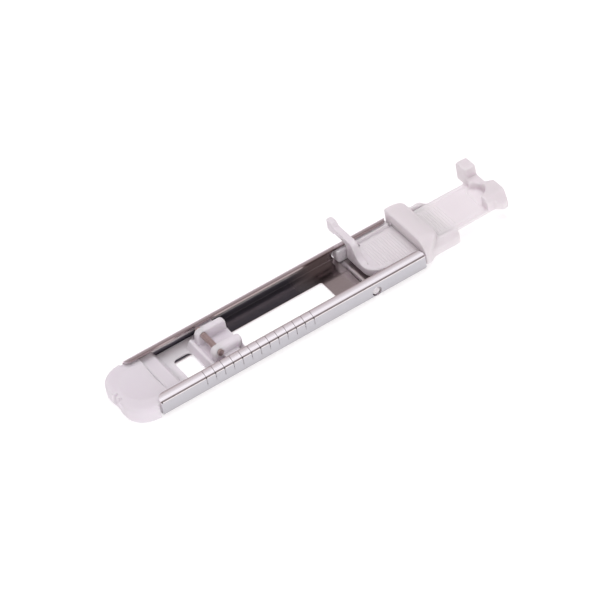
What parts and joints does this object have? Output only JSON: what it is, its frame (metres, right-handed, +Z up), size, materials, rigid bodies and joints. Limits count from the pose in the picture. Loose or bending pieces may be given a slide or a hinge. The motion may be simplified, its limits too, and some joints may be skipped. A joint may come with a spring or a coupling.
{
  "type": "sliding buttonhole presser foot",
  "caption": "Clip-on sliding buttonhole presser foot: steel channel with an engraved scale, sliding inner foot on a cross pin, and a pull-out button guide.",
  "frame": {"origin": "middle of the bottom face of the whole foot's box, on the sole plane", "axes": "+X from the toe to the button guide, +Y towards the stop arm, +Z up from the sole"},
  "size_m": [0.1374, 0.0292, 0.0112],
  "materials": {
    "plated_steel": "bright plated sheet steel, satin on the side walls",
    "pin_steel": "turned steel, dark reflections",
    "spring_steel": "thin cold-rolled strip",
    "white_plastic": "moulded, slightly translucent, fine satin"
  },
  "bodies": {
    "frame": {"frame_channel": "plated_steel", "toe_piece": "white_plastic", "lever_stop_tray": "white_plastic", "guide_bridge": "white_plastic", "detent_spring": "spring_steel"},
    "foot": {"inner_foot": "white_plastic", "shank_pin": "pin_steel"},
    "guide": {"button_guide_plate": "white_plastic"}
  },
  "joints": [
    {"name": "foot_slide", "type": "slide", "parent": "frame", "child": "foot", "axis": [1, 0, 0], "range_m": [0, 0.042]},
    {"name": "guide_slide", "type": "slide", "parent": "frame", "child": "guide", "axis": [1, 0, 0], "range_m": [-0.0085, 0]}
  ]
}
